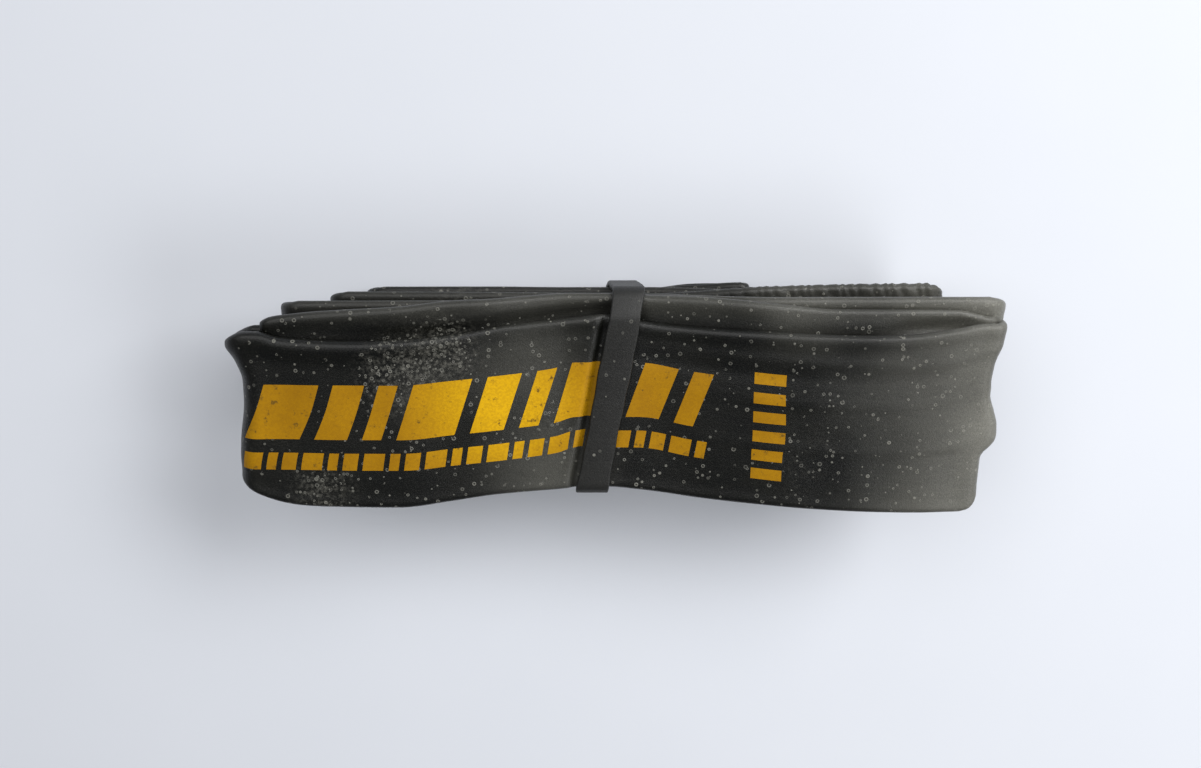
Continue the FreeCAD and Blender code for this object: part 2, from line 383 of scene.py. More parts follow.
def top_relief(x, v):
    """Ridges, a valley between them, a swelling at the left fold, and the groove beside the band."""
    ridges = sum(tall * hump(v, place, wide) for tall, place, wide in RIDGES)
    valley = 0.2 * hump(v, 7.8, 1.4) * ramp(x, -30.0, 20.0)
    swelling = 0.2 * hump(x, -57.5, 2.5) * hump(v, -1.0, 5.0)
    band_side = band_middle(layer_y[0](x) + v) - BAND_HALF
    groove = 0.7 * hump(x, band_side - 0.45, 0.9)
    return ridges * ramp(x, 6.0, 40.0) - valley + swelling - groove


def second_relief(x, v):
    """Where the layer sinks beside the top one: in a hollow at the right, and left of the band."""
    hollow = ramp(x, 43.0, 54.0) * (1 - ramp(x, 59.5, 62.5)) * hump(v, 11.9, 1.7)
    top_edge = far_edge(x) - layer_y[1](x)
    pressed = ramp(x, -48.0, -14.0) * (1 - ramp(x, 3.0, 9.0))
    return -hollow - pressed * (1 - ramp(v, top_edge - 0.1, top_edge + 2.4))


def relief(k, x, v):
    """Unevenness of a layer's upper face at x along and v across."""
    d = 0.05 * np.sin(x * 0.21 + k * 1.7) * np.sin(v * 0.31 + k)
    d += 0.03 * np.sin(x * 0.53 + v * 0.22 + k * 2.9)
    if k == 0:
        d += top_relief(x, v)
    if k == 1:
        d += second_relief(x, v)
    return d


def ribs(x, v):
    """Slanting wrinkles of the stretch that lies over the valve, steep on one side."""
    uneven = 0.5 * np.sin(x * 0.9) + 0.2 * np.sin(x * 2.3)
    turn = (x + RIB_SLANT * v + uneven) / RIB_PITCH
    wave = turn - np.floor(turn)
    tall = 0.2 + 0.1 * ramp(x, 35.0, 50.0)
    return tall * ramp(x, RIB_START, RIB_START + 6.0) * (np.sin(math.pi * wave**1.5) ** 0.7 - 0.3)


def upper_face(k, x, v, near=HALF, far=HALF):
    """Height of a layer's upper face over the layer's middle."""
    h = FACE + bead(k, x, v, near, far) + relief(k, x, v)
    if k in RIBBED:
        h = h + ribs(x, v)
    return h


def lower_face(k, x, v):
    """Height of a layer's lower face over the layer's middle."""
    h = np.full_like(v, -FACE)
    if k in RIBBED:
        h = h - ribs(x, v)
    return h


def corner_pull(gap, rounding):
    """How far an edge is drawn in, at a distance from the fold's tip."""
    reach, depth = rounding
    t = 1 - np.clip(gap / reach, 0, 1)
    return depth * (1 - np.sqrt(1 - t * t))


def edges(k, x):
    """Sideways reach of a layer's -Y and +Y edges from its middle."""
    far, near = HALF, HALF
    if k == 0:
        middle = layer_y[0](x)
        far, near = far_edge(x) - middle, middle - near_edge(x)
    if k in RIBBED:
        far = far + 0.8 * (ribs(x, HALF) - 0.1)
    for side in (-1, 1):
        _, _, tip, far_round, near_round = fold_of[k, side]
        gap = side * (tip - x)
        far = far - corner_pull(gap, far_round)
        near = near - corner_pull(gap, near_round)
    return near, far


def faces_along(k, heading, x, v, near, far):
    """Both faces of a layer, left and right of the way that the loop runs."""
    up, down = upper_face(k, x, v, near, far), lower_face(k, x, v)
    return (up, down) if math.cos(heading) > 0 else (-down, -up)


def between(a, b, share):
    """The value that lies the given share of the way from a to b."""
    return a + (b - a) * share


def stations(k, low, high):
    """Places along a layer, close together where its faces have fine detail."""
    fine_from, fine_to = high, high
    if k == 0:
        fine_from, fine_to = PINCHED
    if k in RIBBED:
        fine_from = RIB_START
    before = np.linspace(low, fine_from, int((fine_from - low) / STEP), endpoint=False)
    fine = np.arange(fine_from, fine_to, FINE_STEP)
    after = [high]
    if fine_to < high:
        after = np.linspace(fine_to, high, 2 + int((high - fine_to) / STEP))
    return np.concatenate([before, fine, after])


def steepness(k, x):
    """How steeply a layer rises along X."""
    return (layer_z[k](x + SLOPE_STEP) - layer_z[k](x - SLOPE_STEP)) / (2 * SLOPE_STEP)


def loop_path():
    """Each ring of the closed loop: layer before, layer after, share of the turn, x, y, z, headings."""
    path, k, side = [], 0, -1
    for _ in range(LAYERS):
        x0, x1 = fold_of[k, -side][0], fold_of[k, side][0]
        xs = stations(k, min(x0, x1), max(x0, x1))[::side]
        start = 0.0 if side > 0 else math.pi
        for x, y, z, m in zip(xs, layer_y[k](xs), layer_z[k](xs), steepness(k, xs)):
            path.append((k, k, 0.0, x, y, z, start + math.atan(m), start))
        after = fold_of[k, side][1]
        za, zb = layer_z[k](x1), layer_z[after](x1)
        ya, yb = layer_y[k](x1), layer_y[after](x1)
        middle, radius = (za + zb) / 2, abs(za - zb) / 2
        spin = 1.0 if (zb > za) == (side > 0) else -1.0
        steps = TIGHT_FOLD_STEPS if radius < TIGHT_FOLD else FOLD_STEPS
        for i in range(1, steps):
            share = i / steps
            heading = start + spin * math.pi * share
            x = x1 + spin * radius * math.sin(heading)
            z = middle - spin * radius * math.cos(heading)
            path.append((k, after, share, x, between(ya, yb, share), z, heading, start))
        k, side = after, -side
    return path


def lip_swell(k, after, share, v, far):
    """How far the top fold's inner face swells in at its +Y edge, where it wraps the fold below."""
    if {k, after} != {0, 3}:
        return 0.0
    return 2.3 * math.sin(math.pi * share) * ramp(v, far - 8.0, far - 1.5)


def tube_points():
    """Rings of points round the flat tube, all along the loop."""
    quarter = math.pi / 2
    spread = np.sin(np.linspace(-quarter, quarter, FACE_STEPS) * FACE_EASE) / math.sin(quarter * FACE_EASE)
    angle = np.linspace(0, math.pi, EDGE_STEPS + 2)[1:-1]
    bulge = EDGE_REACH * np.sin(angle)
    rings = []
    for k, after, share, x, y, z, heading, start in loop_path():
        part = ramp(share, 0.0, 1.0)
        near, far = edges(k, x)
        if after != k:
            near_after, far_after = edges(after, x)
            near, far = between(near, near_after, part), between(far, far_after, part)
        face = (far - near) / 2 + spread * ((far + near) / 2 - EDGE_REACH)
        up, down = faces_along(k, start, x, face, near, far)
        if after != k:
            up_after, down_after = faces_along(after, start + math.pi, x, face, near, far)
            up, down = between(up, up_after, part), between(down, down_after, part)
            if k == 0:
                up = up + lip_swell(k, after, share, face, far)
            else:
                down = down - lip_swell(k, after, share, face, far)
        edge_mid, edge_r = (up[-1] + down[-1]) / 2, (up[-1] - down[-1]) / 2
        back_mid, back_r = (up[0] + down[0]) / 2, (up[0] - down[0]) / 2
        far_side, near_side = edge_mid + edge_r * np.cos(angle), back_mid - back_r * np.cos(angle)
        v = np.concatenate([face, face[-1] + bulge, face[::-1], face[0] - bulge])
        h = np.concatenate([up, far_side, down[::-1], near_side])
        ring = np.zeros((len(v), 3))
        ring[:, 0] = x - math.sin(heading) * h
        ring[:, 1] = y + v
        ring[:, 2] = z + math.cos(heading) * h
        rings.append(ring)
    return np.array(rings)


def grid_mesh(name, points, close_rows=False, close_columns=False):
    """A mesh from a grid of points (rows, columns, 3), in metres."""
    rows, columns = points.shape[:2]
    index = np.arange(rows * columns).reshape(rows, columns)
    faces = []
    for i in range(rows if close_rows else rows - 1):
        for j in range(columns if close_columns else columns - 1):
            i2, j2 = (i + 1) % rows, (j + 1) % columns
            faces.append((index[i, j], index[i2, j], index[i2, j2], index[i, j2]))
    mesh = bpy.data.meshes.new(name)
    mesh.from_pydata(points.reshape(-1, 3).tolist(), [], [tuple(map(int, f)) for f in faces])
    mesh.validate()
    mesh.polygons.foreach_set("use_smooth", [True] * len(mesh.polygons))
    made = bpy.data.objects.new(name, mesh)
    bpy.context.scene.collection.objects.link(made)
    return made


def clean(obj):
    """Merges points that coincide and turns the faces outwards."""
    bm = bmesh.new()
    bm.from_mesh(obj.data)
    bmesh.ops.remove_doubles(bm, verts=bm.verts, dist=1e-7)
    bmesh.ops.dissolve_degenerate(bm, edges=bm.edges, dist=1e-8)
    bmesh.ops.recalc_face_normals(bm, faces=bm.faces)
    bm.to_mesh(obj.data)
    bm.free()


def make_tube(material):
    points = to_frame(warp(tube_points()))
    tube = grid_mesh("folded_tube", points, True, True)
    clean(tube)
    tube.data.materials.append(material)
    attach(tube, "tube")
    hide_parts("tube_body")


# ---------------------------------------------------------------- print on the top layer
PRINT_LIFT = 0.035
PRINT_THICK = 0.06
PRINT_STEP_X, PRINT_STEP_Y = 0.35, 0.4
PRINT_SHARP = math.radians(40.0)

# Rows of bars and of dashes: where the row starts along X and across, height, slant and gap
BAR_ROW = (-59.0, -2.6, 9.4, 3.2, 2.5)
BAR_WIDTHS = (9.4, 5.5, 3.2)
BAR_REPEATS = 3
DASH_ROW = (-59.4, -8.0, 3.0, 0.5, 0.9)
DASH_WIDTHS = (3.4, 1.6, 2.4)
DASH_END = 18.0

# A column of short strokes at the right
STROKES = 6
STROKE_X, STROKE_TOP, STROKE_PITCH = 25.0, 6.2, 3.3
STROKE_WIDE, STROKE_HIGH = 5.2, 1.9


def top_patch(corners, rows, columns):
    """Points of a four-sided patch that lies on the top layer and wraps round its left fold.

    The corners are (x, v) pairs; past the fold's axis, x goes on round the fold.
    """
    radius = (left_level(0) - left_level(3)) / 2
    s, t = np.meshgrid(np.linspace(0, 1, rows), np.linspace(0, 1, columns), indexing="ij")
    corner = np.array(corners, float)
    xv = (
        ((1 - s) * (1 - t))[..., None] * corner[0]
        + (s * (1 - t))[..., None] * corner[1]
        + (s * t)[..., None] * corner[2]
        + ((1 - s) * t)[..., None] * corner[3]
    )
    v, start = xv[..., 1], fold_of[0, -1][0]
    x = np.maximum(xv[..., 0], start)
    h = upper_face(0, x, v) + PRINT_LIFT
    turn = (x - xv[..., 0]) / (radius + h)
    along = x - steepness(0, x) * h - (radius + h) * np.sin(turn)
    across = layer_y[0](x) + v
    down = (radius + h) * (1 - np.cos(turn))
    return np.stack([along, across, layer_z[0](x) + h - down], -1)


def bar(x, v, width, height, slant):
    """Corners of a slanted bar whose lower left corner is (x, v)."""
    return [(x, v), (x + width, v), (x + width + slant, v + height), (x + slant, v + height)]


def print_bars():
    """A plain pattern of bars and dashes that carries no letters."""
    bars = []
    x, v, height, slant, gap = BAR_ROW
    for width in BAR_WIDTHS * BAR_REPEATS:
        bars.append(bar(x, v, width, height, slant))
        x += width + gap
    x, v, height, slant, gap = DASH_ROW
    while x < DASH_END:
        width = DASH_WIDTHS[len(bars) % len(DASH_WIDTHS)]
        bars.append(bar(x, v, width, height, slant))
        x += width + gap
    for i in range(STROKES):
        bars.append(bar(STROKE_X, STROKE_TOP - STROKE_PITCH * i, STROKE_WIDE, STROKE_HIGH, 0.0))
    return bars


def make_print(material):
    pieces = []
    for number, corners in enumerate(print_bars()):
        width = abs(corners[1][0] - corners[0][0])
        height = abs(corners[3][1] - corners[0][1])
        rows, columns = max(3, int(width / PRINT_STEP_X)), max(3, int(height / PRINT_STEP_Y))
        points = top_patch(corners, rows, columns)
        pieces.append(grid_mesh("print_%02d" % number, to_frame(warp(points))))
    bpy.ops.object.select_all(action="DESELECT")
    for piece in pieces:
        piece.select_set(True)
    bpy.context.view_layer.objects.active = pieces[0]
    bpy.ops.object.join()
    mark = pieces[0]
    mark.name = "yellow_print"
    film = mark.modifiers.new("film", "SOLIDIFY")
    film.thickness = PRINT_THICK * MM
    film.offset = -1.0
    bpy.ops.object.modifier_apply(modifier="film")
    mark.data.set_sharp_from_angle(angle=PRINT_SHARP)
    mark.data.materials.append(material)
    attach(mark, "tube")


# ---------------------------------------------------------------- rubber band
BAND_THICK = 0.95
BAND_ROUND = 0.3
BAND_CLEARANCE = 0.12
BAND_STEPS = 260
FLOOR_GAP = 0.05

# The band runs round circles at the layers' edges. The top layer's stand further out, and their
# heights stay this far above the lowest and below the highest layer's middle
CORNER_RADIUS = 1.2
CORNER_STEPS = 48
TOP_WIDER = 0.4
LOWEST_CORNER, HIGHEST_CORNER = 0.45, -0.35


def hull(points):
    """The convex outline round flat points."""
    points = sorted(set(map(tuple, points)))

    def half(items):
        chain = []
        for p in items:
            while len(chain) > 1 and (
                (chain[-1][0] - chain[-2][0]) * (p[1] - chain[-2][1])
                - (chain[-1][1] - chain[-2][1]) * (p[0] - chain[-2][0])
            ) <= 0:
                chain.pop()
            chain.append(p)
        return chain[:-1]

    return half(points) + half(points[::-1])


def band_outline():
    """Points (y, z) and outward normals round the squeezed waist, evenly spaced."""
    circle = np.linspace(0, 2 * math.pi, CORNER_STEPS, endpoint=False)
    lowest, highest = waist_level(LAYERS - 1) + LOWEST_CORNER, waist_level(0) + HIGHEST_CORNER
    r = CORNER_RADIUS + BAND_CLEARANCE
    cloud = []
    for k in range(LAYERS):
        wider = TOP_WIDER if k == 0 else 0.0
        cz = np.clip(waist_level(k), lowest, highest)
        for edge in (-1, 1):
            cy = WAIST_Y[k] + edge * (HALF + wider - CORNER_RADIUS)
            cloud += [(cy + r * math.cos(a), cz + r * math.sin(a)) for a in circle]
    ring = np.array(hull(cloud))
    ring = np.vstack([ring, ring[:1]])
    length = np.concatenate([[0], np.cumsum(np.linalg.norm(np.diff(ring, axis=0), axis=1))])
    even = np.linspace(0, length[-1], BAND_STEPS, endpoint=False)
    y, z = np.interp(even, length, ring[:, 0]), np.interp(even, length, ring[:, 1])
    tangent = np.stack([np.roll(y, -1) - np.roll(y, 1), np.roll(z, -1) - np.roll(z, 1)], 1)
    tangent /= np.linalg.norm(tangent, axis=1)[:, None]
    return np.stack([y, z], 1), np.stack([tangent[:, 1], -tangent[:, 0]], 1)


def band_profile():
    """The band's rounded cross-section: along X, and out from the bundle."""
    side, top, bottom = BAND_HALF - BAND_ROUND, BAND_THICK - BAND_ROUND, BAND_ROUND
    profile = []
    for cx, cr, start in ((side, top, 0), (-side, top, 90), (-side, bottom, 180), (side, bottom, 270)):
        for turn in np.linspace(start, start + 90, 5):
            a = math.radians(turn)
            profile.append((cx + BAND_ROUND * math.cos(a), cr + BAND_ROUND * math.sin(a)))
    return np.array(profile)


def make_band(material):
    line, normal = band_outline()
    profile = band_profile()
    points = np.zeros((len(line), len(profile), 3))
    for i, ((y, z), (ny, nz)) in enumerate(zip(line, normal)):
        uneven = 1.0 + 0.03 * math.sin(i * 0.13) + 0.02 * math.sin(i * 0.41)
        points[i, :, 0] = band_middle(y) + profile[:, 0] * uneven
        points[i, :, 1] = y + ny * profile[:, 1]
        points[i, :, 2] = z + nz * profile[:, 1]
    points[..., 2] = np.maximum(points[..., 2], FLOOR_GAP)
    band = grid_mesh("wide_rubber_band", to_frame(points), True, True)
    clean(band)
    band.data.materials.append(material)
    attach(band, "band")
    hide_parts("rubber_band")


# ---------------------------------------------------------------- valve
def turned(name, profile, material, body, node, shape=None, steps=64):
    """A piece turned about the valve's axis from (x, radius) points, in the part's own mm.

    The profile is a closed loop, or it starts and ends on the axis.
    """
    centre = middle_of("valve_stem")
    x, r = np.array(profile, float).T
    a = np.linspace(0, 2 * math.pi, steps, endpoint=False)[:, None]
    wide, high = (r * np.cos(a), r * np.sin(a)) if shape is None else shape(x, r, a)
    points = np.stack([x + 0 * a, centre[1] + wide, centre[2] + high], -1) * MM
    piece = grid_mesh(name, points, True, r[0] > 0)
    clean(piece)
    piece.data.materials.append(material)
    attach(piece, body)
    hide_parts(node)


def pad_shape(x, r, a):
    """Turns a round outline into the foot's long one with round corners; r is a share of the size."""
    c, s = np.cos(a), np.sin(a)
    reach = (np.abs(c) ** FOOT_SQUARENESS + np.abs(s) ** FOOT_SQUARENESS) ** (-1 / FOOT_SQUARENESS)
    return FOOT_WIDE / 2 * r * reach * c, FOOT_HIGH / 2 * r * reach * s


def threaded(x, r, a):
    """Fine thread cut in the neck, running round the stem as a helix."""
    depth = THREAD_DEPTH * ramp(x, NECK_START + 0.5, NECK_START + 1.2)
    depth = depth * (1 - ramp(x, NECK_END - 0.9, NECK_END - 0.3))
    turn = (x - NECK_START) / THREAD_PITCH - a / (2 * math.pi)
    wave = np.abs(2 * (turn - np.floor(turn)) - 1)
    r = r - np.where(r > THREAD_FROM, depth * wave, 0.0)
    return r * np.cos(a), r * np.sin(a)


def ribbed(x, r, a):
    """Finger grooves along the lower part of the cap."""
    start, _ = ends("valve_cap")
    along = ramp(x, start + 1.3, start + 1.9) * (1 - ramp(x, start + 11.0, start + 11.8))
    groove = np.clip((np.cos(CAP_GROOVES * a) - 0.45) / 0.55, 0, 1)
    r = r - np.where(r > CAP_GROOVE_FROM, CAP_GROOVE_DEPTH * along * groove, 0.0)
    return r * np.cos(a), r * np.sin(a)


def make_foot(material):
    back, front = ends("valve_foot")
    foot = [(back, 0.0), (back, 0.9), (back + 0.1, 0.97), (back + 0.35, 1.0), (back + 0.9, 1.0)]
    foot += [(back + 1.2, 0.96), (back + 1.3, 0.88), (back + 1.2, 0.84), (back + 1.32, 0.79)]
    foot += [(back + 1.55, 0.74), (back + 1.45, 0.7), (back + 1.65, 0.65), (back + 2.1, 0.58)]
    foot += [(front - 0.15, 0.53), (front, 0.5), (front, 0.0)]
    turned("moulded_valve_foot", foot, material, "tube", "valve_foot", pad_shape)


def make_gasket(material):
    start, finish = ends("core_gasket")
    ring = [(start, 1.76), (start, 1.98), (start + 0.06, 2.07), (start + 0.15, 2.1)]
    ring += [(finish - 0.15, 2.1), (finish - 0.06, 2.07), (finish, 1.98), (finish, 1.76)]
    ring += [(finish - 0.15, 1.72), (start + 0.15, 1.72)]
    turned("ring_gasket", ring, material, "tube", "core_gasket")


def make_pin_seal(material):
    start, finish = ends("core_seal")
    sleeve = [(start, 0.82), (start, 1.2), (start + 0.12, 1.36), (start + 0.4, 1.44)]
    sleeve += [(finish - 0.35, 1.46), (finish - 0.15, 1.5), (finish - 0.02, 1.46), (finish, 1.3)]
    sleeve += [(finish, 0.82), (finish - 0.1, 0.79), (start + 0.1, 0.79)]
    turned("pin_seal_sleeve", sleeve, material, "pin", "core_seal")


def make_stem(material):
    end, _ = ends("valve_stem")
    outer = [(end, 1.35), (end, 2.3), (end + 0.08, 2.4), (end + 0.5, 2.4), (end + 0.6, 2.3)]
    outer += [(end + 0.62, 2.1), (end + 1.38, 2.1), (end + 1.4, 2.85), (end + 1.55, BARREL_RADIUS)]
    outer += [(NECK_START - 0.2, BARREL_RADIUS), (NECK_START, 2.8), (NECK_START + 0.02, NECK_RADIUS)]
    outer += [(x, NECK_RADIUS) for x in np.arange(NECK_START + 0.1, NECK_END - 0.4, 0.1)]
    outer += [(NECK_END - 0.35, 2.55), (NECK_END, 2.2), (NECK_END, BORE_RADIUS + 0.02)]
    inner = [(BORE_END, BORE_RADIUS), (BORE_END - 0.05, 1.3)]
    turned("threaded_stem", outer + inner, material, "tube", "valve_stem", threaded)


def make_cap(material):
    start, end = ends("valve_cap")
    bottom, ledge = start + 19.3, start + 9.65
    inside = [(bottom, 0.0), (bottom, 2.42), (ledge, 2.42), (ledge - 0.05, 2.66), (start + 0.2, 2.66)]
    outside = [(start, 2.8), (start, 3.2), (start + 0.1, 3.33), (start + 0.3, CAP_RADIUS)]
    outside += [(start + x, CAP_RADIUS) for x in np.arange(1.2, 13.3, 0.25)]
    outside += [(start + 13.5 + 6.0 * t, CAP_RADIUS - CAP_TAPER * t * t) for t in np.linspace(0, 1, 12)]
    shoulder_x, shoulder_r = end - CAP_TIP_ROUND, CAP_RADIUS - CAP_TAPER - CAP_TIP_ROUND
    for turn in np.linspace(0, math.pi / 2, 8)[1:]:
        x, r = shoulder_x + CAP_TIP_ROUND * math.sin(turn), shoulder_r + CAP_TIP_ROUND * math.cos(turn)
        outside.append((x, r))
    outside.append((end, 0.0))
    steps = 12 * CAP_GROOVES
    turned("ribbed_cap", inside + outside, material, "cap", "valve_cap", ribbed, steps)


# ---------------------------------------------------------------- materials
DUST = (0.17, 0.165, 0.14, 1)
# Pale colour of the painted sheen, which stands in for the lamps' glare, and of the small dried drops
SHEEN_AND_DROP_PALE = (0.235, 0.23, 0.198, 1)

# Spots of the top face, in the pile's millimetres: X, Y, radius and weight
DUSTY = ((-33.0, 8.0, 9.0, 0.9), (-46.0, -11.5, 7.5, 0.75), (-25.0, 12.0, 8.5, 0.9))
# This spot is painted light: the print is painted brighter where the lamps light the face beside the band
PAINTED_INK_LIGHT = ((-16.0, 3.0, 19.0, 0.9),)
# These spots are painted sheen: pale patches where the lamps' glare falls on the right end, beside the band
# and on the +Y edges
PAINTED_SHEEN_SPOTS = (
    (70.0, -16.0, 34.0, 1.0),
    (70.0, 18.0, 32.0, 0.85),
    (68.0, -2.0, 13.0, 0.5),
    (-9.0, -9.0, 15.0, 0.36),
    (-12.0, 9.0, 14.0, 0.28),
    (-28.0, 5.0, 9.0, 0.16),
    (44.0, 4.0, 12.0, 0.16),
    (33.0, 22.0, 13.0, 0.35),
)

# Where the painted sheen along the +Y side's edges comes in, and the heights where the painted sheen spots
# fade, in metres
SHELF_FROM = to_frame(np.array([0.0, 15.6, 0.0]))[1]
SHELF_TO = to_frame(np.array([0.0, 20.5, 0.0]))[1]
SHEEN_LOW, SHEEN_HIGH = 0.006, 0.024


class Nodes:
    """Short calls for building a material."""

    def __init__(self, name):
        self.material = bpy.data.materials.new(name)
        self.material.use_nodes = True
        self.tree = self.material.node_tree
        self.shader = self.tree.nodes["Principled BSDF"]
        self.place = self.add("ShaderNodeTexCoord").outputs["Object"]

    def add(self, kind, **values):
        node = self.tree.nodes.new(kind)
        for key, value in values.items():
            setattr(node, key, value)
        return node

    def link(self, a, b):
        self.tree.links.new(a, b)

    def put(self, socket, value):
        """Links a socket or sets a number."""
        if isinstance(value, bpy.types.NodeSocket):
            self.link(value, socket)
        else:
            socket.default_value = value

    def surface(self, colour, roughness, normal):
        self.link(colour, self.shader.inputs["Base Color"])
        self.link(roughness, self.shader.inputs["Roughness"])
        self.link(normal, self.shader.inputs["Normal"])

    def noise(self, scale, detail=3.0, rough=0.5, place=None):
        node = self.add("ShaderNodeTexNoise")
        self.link(place or self.place, node.inputs["Vector"])
        node.inputs["Scale"].default_value = scale
        node.inputs["Detail"].default_value = detail
        node.inputs["Roughness"].default_value = rough
        return node.outputs["Fac"]

    def stretched(self, x, y, z):
        """The place, scaled by its own number along each axis."""
        node = self.add("ShaderNodeVectorMath", operation="MULTIPLY")
        self.link(self.place, node.inputs[0])
        node.inputs[1].default_value = (x, y, z)
        return node.outputs[0]

    def math(self, operation, a, b=0.0, clamp=False):
        node = self.add("ShaderNodeMath", operation=operation, use_clamp=clamp)
        self.put(node.inputs[0], a)
        self.put(node.inputs[1], b)
        return node.outputs[0]

    def sum(self, *terms):
        """Adds (value, weight) terms."""
        total = self.math("MULTIPLY", *terms[0])
        for value, weight in terms[1:]:
            total = self.math("ADD", total, self.math("MULTIPLY", value, weight))
        return total

    def span(self, value, low, high, to_low=0.0, to_high=1.0):
        """Smooth step from to_low, where the value is low, to to_high, where it is high."""
        node = self.add("ShaderNodeMapRange", interpolation_type="SMOOTHSTEP")
        self.put(node.inputs["Value"], value)
        for key, number in (("From Min", low), ("From Max", high), ("To Min", to_low), ("To Max", to_high)):
            node.inputs[key].default_value = number
        return node.outputs["Result"]

    def mix(self, factor, a, b):
        node = self.add("ShaderNodeMix", data_type="RGBA")
        self.put(node.inputs["Factor"], factor)
        self.put(node.inputs["A"], a)
        self.put(node.inputs["B"], b)
        return node.outputs["Result"]

    def bump(self, height, strength, distance, after=None):
        node = self.add("ShaderNodeBump")
        self.put(node.inputs["Height"], height)
        node.inputs["Strength"].default_value = strength
        node.inputs["Distance"].default_value = distance
        if after is not None:
            self.link(after, node.inputs["Normal"])
        return node.outputs["Normal"]


def blobs(n, spots):
    """A soft mask over (x, y, radius, weight) spots of the top face, in mm."""
    flat = n.stretched(1.0, 1.0, 0.0)
    total = 0.0
    for x, y, radius, weight in spots:
        centre = to_frame(np.array([x, y, 0.0]))
        away = n.add("ShaderNodeVectorMath", operation="DISTANCE")
        n.link(flat, away.inputs[0])
        away.inputs[1].default_value = (centre[0], centre[1], 0.0)
        total = n.math("ADD", total, n.span(away.outputs["Value"], 0.0, radius * MM, weight, 0.0), True)
    return total


def speck_rings(n, scale, share, density):
    """Small pale rings, one at most in each cell; share is how many cells have one."""
    cells = n.add("ShaderNodeTexVoronoi", feature="F1")
    n.link(n.place, cells.inputs["Vector"])
    cells.inputs["Scale"].default_value = scale
    split = n.add("ShaderNodeSeparateColor")
    n.link(cells.outputs["Color"], split.inputs[0])
    choice, size, strength = split.outputs
    chosen = n.math("LESS_THAN", choice, n.math("ADD", n.math("MULTIPLY", density, 0.6), share))
    size = n.math("ADD", 0.75, n.math("MULTIPLY", size, 0.5))
    distance = n.math("DIVIDE", cells.outputs["Distance"], size)
    outer = n.span(distance, 0.25, 0.34, 1.0, 0.0)
    inner = n.span(distance, 0.12, 0.25, 0.12, 1.0)
    ring = n.math("MULTIPLY", n.math("MULTIPLY", outer, inner), chosen)
    return n.math("MULTIPLY", ring, n.math("ADD", 0.4, n.math("MULTIPLY", strength, 0.6)))


def painted_sheen_mask(n, sheen_spots, painted_shelf_sheen, tone, grain):
    """Painted sheen: where the rubber is painted pale for the lamps' glare, on the spots and on what sticks
    out at the +Y side.
    """
    split = n.add("ShaderNodeSeparateXYZ")
    n.link(n.place, split.inputs[0])
    _, across, height = split.outputs
    # Painted highlight on the layers' edges at the +Y side
    shelf = n.span(across, SHELF_FROM, SHELF_TO, 0.0, painted_shelf_sheen)
    # The painted sheen fades lower down in the pile
    high = n.span(height, SHEEN_LOW, SHEEN_HIGH, 0.4, 1.0)
    mask = n.math("ADD", n.math("MULTIPLY", blobs(n, sheen_spots), high), shelf, True)
    mask = n.math("MULTIPLY", mask, n.span(tone, 0.25, 0.7, 0.55, 1.0))
    return n.math("MULTIPLY", mask, n.span(grain, 0.3, 0.7, 0.7, 1.0))


def rubber(name, dark, light, specks, roughness, shine, dusty=(), sheen_spots=(), painted_shelf_sheen=0.0):
    """Moulded rubber with a fine powdery grain, dusty patches, patches of painted sheen standing in for the
    lamps' glare, and small dried drops.
    """
    n = Nodes(name)
    large = n.noise(70.0)
    fine = n.noise(2600.0, detail=4.0, rough=0.65)
    grain = n.noise(5200.0, rough=0.7)
    streak = n.noise(1.0, rough=0.6, place=n.stretched(120.0, 1400.0, 1400.0))
    tone = n.sum((large, 0.5), (fine, 0.3), (streak, 0.2))

    blotch = n.span(n.noise(60.0, detail=4.0, rough=0.6), 0.52, 0.75)
    cloudy = n.math("ADD", n.math("MULTIPLY", blotch, 0.25), blobs(n, dusty), True)
    powder = n.span(grain, 0.46, 0.74)
    film = n.math("MULTIPLY", cloudy, n.span(n.noise(1500.0, detail=5.0, rough=0.7), 0.44, 0.7), True)
    painted_sheen = painted_sheen_mask(n, sheen_spots, painted_shelf_sheen, tone, grain)
    big_rings = speck_rings(n, 1000.0, specks, cloudy)
    small_rings = speck_rings(n, 1500.0, specks * 0.4, cloudy)
    ring = n.math("MAXIMUM", big_rings, small_rings)

    colour = n.mix(n.span(tone, 0.3, 0.7), dark, light)
    for mask, strength, pale in (
        (powder, 0.06, DUST),
        (film, 0.62, DUST),
        # Painted sheen for the lamps' glare, then the dried drops, in the same pale colour
        (painted_sheen, 0.77, SHEEN_AND_DROP_PALE),
        (ring, 0.68, SHEEN_AND_DROP_PALE),
    ):
        colour = n.mix(n.math("MULTIPLY", mask, strength), colour, pale)

    rough = n.math("ADD", roughness - 0.05, n.math("MULTIPLY", large, 0.1))
    rough = n.math("ADD", rough, n.math("MULTIPLY", n.math("ADD", film, powder), 0.08), True)

    normal = None
    for height, strength, distance in (
        (streak, 0.25, 0.0001),
        (fine, 0.3, 0.00012),
        (grain, 0.4, 0.00007),
        (ring, 0.6, 0.00008),
    ):
        normal = n.bump(height, strength, distance, normal)
    n.surface(colour, rough, normal)
    n.shader.inputs["Specular IOR Level"].default_value = shine
    return n.material


def tube_rubber():
    return rubber(
        "tube_rubber",
        dark=(0.0010, 0.0013, 0.0015, 1),
        light=(0.0050, 0.0051, 0.0035, 1),
        specks=0.18,
        roughness=0.38,
        shine=0.37,
        dusty=DUSTY,
        # Painted sheen spots, and a painted highlight on the +Y edges
        sheen_spots=PAINTED_SHEEN_SPOTS,
        painted_shelf_sheen=0.3,
    )


def band_rubber():
    return rubber(
        "band_rubber",
        dark=(0.0065, 0.0065, 0.006, 1),
        light=(0.014, 0.014, 0.0128, 1),
        specks=0.06,
        roughness=0.5,
        shine=0.4,
    )


